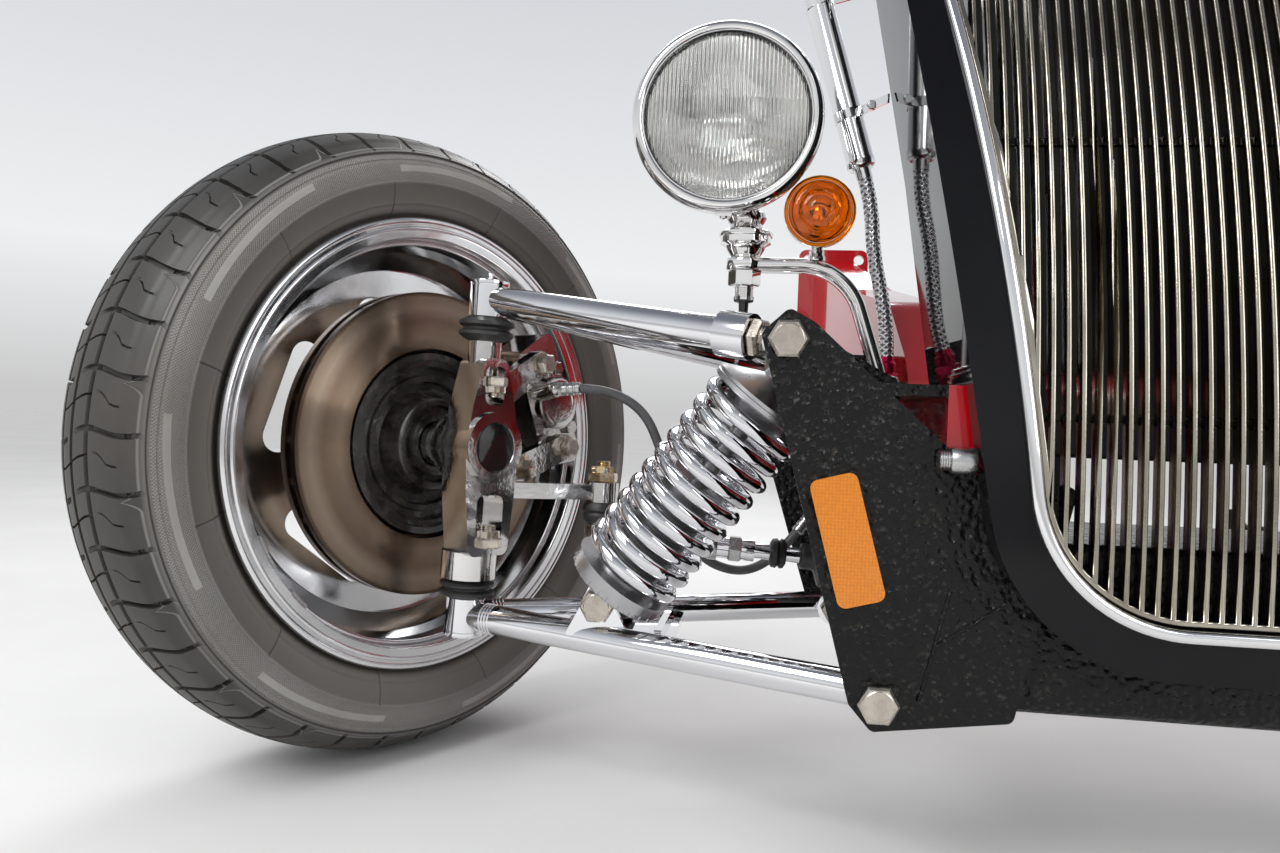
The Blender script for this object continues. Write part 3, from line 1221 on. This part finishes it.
def lamp_skin(side):
    """Smooth bowl behind the rim."""
    bm = bmesh.new()
    sines = [math.sin(math.pi / 2 * number / 28) for number in range(29)]
    skin = [(18.2 + LAMP_REACH * sine, LAMP_GIRTH * (1 - sine ** 1.8) ** 0.56) for sine in sines]
    within = [(along - 1.2, max(radius - 1.2, 0.0)) for along, radius in skin[::-1]]
    revolve(bm, within + skin[:-1] + [(skin[-1][0], 0.0)], LAMP, BACK, 96)
    side_piece("lamp_skin", side, bm, LAMP_CHROME, 50)


def lamp_inside(side):
    """Reflector with the shade on its three legs, and the bulb."""
    bm = bmesh.new()
    bowl = [(9 + 52 * (1 - (radius / 67) ** 2), radius) for radius in (67, 62, 56, 49, 41, 33, 25, 18, 12)]
    revolve(bm, bowl + [(60, 12), (60, 0)], LAMP, BACK, 72)
    revolve(bm, [(24, 0), (25, 6), (29, 9), (30, 9.6), (31, 9), (31, 0)], LAMP, BACK, 40)
    for turn in (0.4, 2.5, 4.6):
        reach = Vector((math.cos(turn), 0, math.sin(turn)))
        sweep(bm, [LAMP + BACK * 30 + reach * 8, LAMP + BACK * 48 + reach * 24], 1.1, 8)
    side_piece("lamp_bowl", side, bm, BOWL, 60)
    bm = bmesh.new()
    revolve(bm, [(34, 0), (35, 5), (39, 8.6), (44, 9), (50, 6), (58, 5), (60, 0)], LAMP, BACK, 32)
    side_piece("lamp_bulb", side, bm, BULB, 60)


def lamp_stem(side):
    """Turned stem: collar, wide flange, cup over the stay's eye, nut, thread and black end nut."""
    bm = bmesh.new()
    top = Vector((STEM_X, STEM_Y, STEM_TOP))
    profile = [(0, 0), (0, 9), (3, 11.5), (6, 16.4), (10, 17.6), (14, 15.4), (16, 13.4), (18, 13.4), (20, 17),
               (21.6, 21.6), (22.6, 23.2), (24.6, 23.6), (26.4, 23), (27.4, 21), (29, 18.6), (33, 18.2),
               (38, 16), (43.6, 12.4), (43.6, 0)]
    revolve(bm, profile, top, -UP, 64)
    under = Vector((STEM_X, STEM_Y, STAY_Z - 6.4))
    hex_nut(bm, under, -UP, 24.4, 12.6)
    thread(bm, under - UP * 12, under - UP * 24.4, 8.3, 1.8, 0.8, 32)
    side_piece("lamp_stem", side, bm, LAMP_CHROME, 40)
    bm = bmesh.new()
    low = Vector((STEM_X, STEM_Y, STAY_Z - 27))
    hex_nut(bm, low, -UP, 15, 6)
    revolve(bm, [(0, 0), (0, 4.5), (10, 4), (11, 0)], low - UP * 5, -UP, 20)
    side_piece("lamp_stem_end", side, bm, CAP_BLACK)


def stay_stations():
    """Centre and slope of the lamp stay's arm, from the stem outward and down to its foot."""
    start = Vector((STEM_X, STEM_Y, STAY_Z))
    corner = start - LEFT * STAY_STRAIGHT
    stations = [(start, 0.0)]
    for turn in [STAY_TURN * number / 16 for number in range(17)]:
        stations.append((corner - (LEFT * math.sin(turn) + UP * (1 - math.cos(turn))) * STAY_BEND, turn))
    last = stations[-1][0]
    drop = (last.z - STAY_LOW) / math.sin(STAY_TURN)
    stations.append((last - (LEFT * math.cos(STAY_TURN) + UP * math.sin(STAY_TURN)) * drop, STAY_TURN))
    return stations


def stay(side):
    """Ribbed arm bent down to a stepped foot, with an eye round the stem and a pad for the signal."""
    half = [(0, 6.6), (3, 6), (4.8, 4.4), (5.4, 4.2), (7.2, 5.3), (9.6, 4.6), (11.4, 2), (12, -2.5)]
    section = [(-across, out) for across, out in half[:0:-1]] + half + [(9, -6), (-9, -6)]
    stations = stay_stations()
    bm = bmesh.new()
    rings = []
    for place, turn in stations:
        outward = UP * math.cos(turn) - LEFT * math.sin(turn)
        rings.append([bm.verts.new(place + BACK * across + outward * out) for across, out in section])
    stitch(bm, rings)
    cap_ends(bm, rings)
    eye = [(-6, 11.4), (-6, 14.6), (-4.6, 16), (-1.5, 16.4), (1.5, 16.4), (4.6, 16), (6, 14.6), (6, 11.4)]
    revolve(bm, eye, stations[0][0], UP, 56, loop=True)
    steps = [(0, 0), (0, 19), (2.4, 19.4), (4, 19), (4.6, 17), (7, 17.4), (8, 16.4), (8.6, 14.4), (11, 14.8),
             (12, 13.4), (12.6, 9), (12.6, 0)]
    revolve(bm, steps, Vector((stations[-1][0].x, STEM_Y, STAY_FOOT)), UP, 56)
    pad = [(0, 0), (0, 7.4), (3.4, 7.4), (4.6, 6.4), (8.6, 6.2), (9, 5.4), (14, 5.2), (14, 0)]
    revolve(bm, pad, Vector((SIGNAL.x, STEM_Y, STAY_Z + 4)), UP, 32)
    side_piece("stay_ribbed", side, bm, LAMP_CHROME, 50, replaces=("lamp_stays",))


def signal(side):
    """Domed amber lens with rings, chrome bezel, bowl and bulb of a turn signal."""
    bm = bmesh.new()
    front = SIGNAL + BACK
    turns = map(math.radians, (84, 76, 67, 58, 50, 43))
    dome = [(-9.8 * math.cos(turn) + 0.2, 26.4 * math.sin(turn)) for turn in turns]
    face = [(-8.4, 16.6), (-7.6, 15.4), (-8.8, 14), (-9.6, 10), (-9.2, 9), (-10, 7.6), (-10.3, 5), (-10.4, 0)]
    edge = [(3, 0), (3, 25.8), (0, 25.8), (-0.4, 29), (-1.2, 29.7), (-3, 29.4), (-3.6, 28.2), (-2.8, 27.2)]
    revolve(bm, edge + dome + face, front, BACK, 80)
    side_piece("signal_lens", side, bm, AMBER, 50, replaces=("signal_lenses",))
    bm = bmesh.new()
    bezel = [(1.4, 27), (0.6, 28.6), (1.2, 29.6), (6, 29.9), (9.4, 29.3), (10.6, 27.4),
             (12.6, 26.6), (12, 25), (4, 26)]
    revolve(bm, bezel, SIGNAL, BACK, 80, loop=True)
    revolve(bm, [(6, 24.6), (14, 19), (20, 12), (22, 6), (22, 0)], SIGNAL, BACK, 48)
    revolve(bm, [(4, 0), (5, 4), (8, 6), (12, 5), (18, 3.4), (21, 0)], SIGNAL, BACK, 24)
    side_piece("signal_bezel", side, bm, LAMP_CHROME, 50)


# Front plates, grille and radiator
PLATE_SEAMS = [((210, 211), (228, 134)), ((218, 172), (174, 203))]
CORE_HALF, CORE_REAR, CORE_BOTTOM, CORE_TOP = 190.0, 34.0, 366.0, 745.0
FIN_PITCH, TUBE_PITCH, TUBES = 2.5, 10.0, 37
# Axes of a section drawn as (rearward, up), with Z towards the left
SIDEWAYS = Matrix(((0, 0, 1, 0), (1, 0, 0, 0), (0, 1, 0, 0), (0, 0, 0, 1)))
RACK_CLAMP_X, RACK_BOLT_Y, RACK_BOLT_TOP, RACK_BOLT_LOW = 150.0, 52.0, 213.0, 171.0


def plate_details(side):
    """Weld seams on the front plate, and the spacer with its ribbed screw between it and the shell."""
    bm = bmesh.new()
    for seam in PLATE_SEAMS:
        sweep(bm, [(x, PLATE_FRONT, z) for x, z in seam], 1.3, 10)
    side_piece("plate_seams", side, bm, CRINKLE)
    bm = bmesh.new()
    start = Vector((198.6, PLATE_FRONT - 9.1, 299.0))
    ribs = [(17 + 0.8 * number, 6.3 + 0.6 * (number % 2)) for number in range(10)]
    profile = [(0, 0), (0, 8.5), (0.8, 9), (15.6, 9), (16.6, 8.3)] + ribs + [(25, 5.4), (25.6, 0)]
    revolve(bm, profile, start, LEFT, 40)
    side_piece("plate_spacer", side, bm, STEEL)


def rounded_front(node, name, mat, radius):
    """The solid's mesh again, with the edges of its front faces rounded."""
    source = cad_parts[node]
    bm = bmesh.new()
    bm.from_mesh(source.data)
    bmesh.ops.remove_doubles(bm, verts=bm.verts, dist=0.00001)
    bmesh.ops.dissolve_limit(bm, angle_limit=math.radians(0.4), verts=bm.verts, edges=bm.edges)
    bm.normal_update()
    edges = [
        edge for edge in bm.edges
        if len(edge.link_faces) == 2
        and min(face.normal.y for face in edge.link_faces) < -0.85
        and max(face.normal.y for face in edge.link_faces) > -0.5
    ]
    bmesh.ops.bevel(bm, geom=edges, offset=radius, segments=4, profile=0.5, affect="EDGES")
    make_piece(name, bm, source.matrix_world, mat, "chassis", 50, replaces=(node,))


def radiator_core():
    """Flat tubes and folded fins over the rear of the radiator's core."""
    bm = bmesh.new()
    count = int((CORE_TOP - CORE_BOTTOM) / FIN_PITCH)
    front = CORE_REAR - 0.5
    lines = [(number, CORE_BOTTOM + (number + 0.5) * FIN_PITCH) for number in range(count)]
    folds = [(front + 0.7 + 0.9 * (number % 2), z) for number, z in lines]
    outline = [(front, folds[0][1])] + folds + [(front, folds[-1][1])]
    prism(bm, outline, SIDEWAYS, -CORE_HALF + 3, CORE_HALF - 3)
    low, high = CORE_BOTTOM + 0.6, CORE_TOP - 0.6
    tube = [(front, low), (front + 2, low), (front + 2, high), (front, high)]
    for number in range(TUBES):
        middle = (number - TUBES // 2) * TUBE_PITCH
        prism(bm, tube, SIDEWAYS, middle - 1.1, middle + 1.1)
    row_piece("radiator_fins", bm, FINS, "chassis", 20)


def rack_bolts():
    """Bolts above and below the rack's two clamps."""
    bm = bmesh.new()
    for clamp in (-RACK_CLAMP_X, RACK_CLAMP_X):
        for x in (clamp - 9, clamp + 9):
            hex_nut(bm, (x, RACK_BOLT_Y, RACK_BOLT_TOP), UP, 13, 8)
            hex_nut(bm, (x, RACK_BOLT_Y, RACK_BOLT_LOW), -UP, 13, 8)
    row_piece("rack_bolts", bm, NICKEL, "chassis")


for side in (-1, 1):
    for build in (
        tyre_piece, knuckle_cap, stud_nuts, steering_nut, steering_boot, caliper_bolts, caliper_details,
        rim_rings, valve, balance_weights, lug_nuts, hub_details, upper_arm_details, ball_joint_caps,
        boot_rings, coilover_details, arm_welds, pivot_bolts, bellows, bellows_bands, tie_rod, brake_hose,
        lamp_rim, lamp_skin, lamp_inside, lamp_stem, stay, signal, plate_details,
    ):
        build(side)
for build in (drain_hose, drain_fitting, overflow_tube, rack_bolts, radiator_core):
    build()
rounded_front("grille_trim", "grille_bead", TRIM_CHROME, 0.0036)
rounded_front("grille", "grille_bars", BRASS, 0.0015)


# Studio
def make_camera():
    data = bpy.data.cameras.new("camera")
    data.lens = CAMERA_LENS
    data.sensor_width = 36.0
    data.clip_start = 0.01
    camera = bpy.data.objects.new("camera", data)
    bpy.context.collection.objects.link(camera)
    ahead = LEFT * math.sin(CAMERA_YAW) + BACK * math.cos(CAMERA_YAW)
    forward = ahead * math.cos(CAMERA_PITCH) + UP * math.sin(CAMERA_PITCH)
    level = LEFT * math.cos(CAMERA_YAW) - BACK * math.sin(CAMERA_YAW)
    upright = level.cross(forward)
    right = level * math.cos(CAMERA_ROLL) + upright * math.sin(CAMERA_ROLL)
    up = upright * math.cos(CAMERA_ROLL) - level * math.sin(CAMERA_ROLL)
    turn = Matrix((right, up, -forward)).transposed().to_4x4()
    camera.matrix_world = Matrix.Translation(car(*CAMERA_AT)) @ turn
    bpy.context.scene.camera = camera


def make_floor():
    look = Look("floor_mat")
    patches = look.ramp(look.noise(3.0), [(0.3, (0.66, 0.66, 0.66)), (0.7, (0.7, 0.7, 0.7))])
    look.feed(Base_Color=patches, Roughness=0.8)
    mesh = bpy.data.meshes.new("floor")
    half, low = 12.0, -ORIGIN.z - 0.002
    corners = [(-half, -half, low), (half, -half, low), (half, half, low), (-half, half, low)]
    mesh.from_pydata(corners, [], [(0, 1, 2, 3)])
    mesh.materials.append(look.mat)
    floor = bpy.data.objects.new("floor", mesh)
    bpy.context.collection.objects.link(floor)


def make_world():
    """Soft light brighter overhead; cameras, metal and glass see a pale backdrop that meets the floor."""
    world = bpy.data.worlds.new("world")
    bpy.context.scene.world = world
    tree = Tree(world)
    height = tree.parts(tree.node("ShaderNodeTexCoord", {}, "Generated"))[2]
    lift = tree.node("ShaderNodeMapRange", {"From Min": -1.0, "Value": height}, "Result")
    light = tree.ramp(lift, [
        (0.0, (0.3, 0.3, 0.3)), (0.49, (0.16, 0.16, 0.17)), (0.56, (0.42, 0.42, 0.43)),
        (0.8, (0.95, 0.95, 0.95))])
    backdrop = tree.ramp(lift, [
        (0.5, (0.585, 0.585, 0.59)), (0.57, (0.86, 0.87, 0.88)), (0.74, (0.6, 0.62, 0.66)),
        (0.95, (0.2, 0.21, 0.24))])
    rays = tree.nodes.new("ShaderNodeLightPath").outputs
    seen = Value(tree, rays["Is Glossy Ray"]) + Value(tree, rays["Is Transmission Ray"])
    background = tree.nodes["Background"].inputs
    tree.put(tree.blend(Value(tree, rays["Is Camera Ray"]) + seen, light, backdrop), background["Color"])
    tree.put(1.0, background["Strength"])


def make_lights():
    for name, place, aim, size, power in (
        ("key", (-1.6, -2.2, 1.7), (-0.3, -0.4, -0.1), 1.3, 42.0),
        ("fill", (1.8, -2.0, 1.0), (0.0, -0.4, -0.1), 1.6, 22.0),
        ("back", (-0.6, 1.9, 1.9), (-0.3, -0.4, 0.0), 1.4, 30.0),
    ):
        data = bpy.data.lights.new(name, "AREA")
        data.size = size
        data.energy = power
        light = bpy.data.objects.new(name, data)
        light.location = place
        light.rotation_euler = (Vector(aim) - Vector(place)).to_track_quat("-Z", "Y").to_euler()
        bpy.context.collection.objects.link(light)


make_camera()
make_floor()
make_world()
make_lights()
bpy.context.scene.view_settings.view_transform = "Standard"
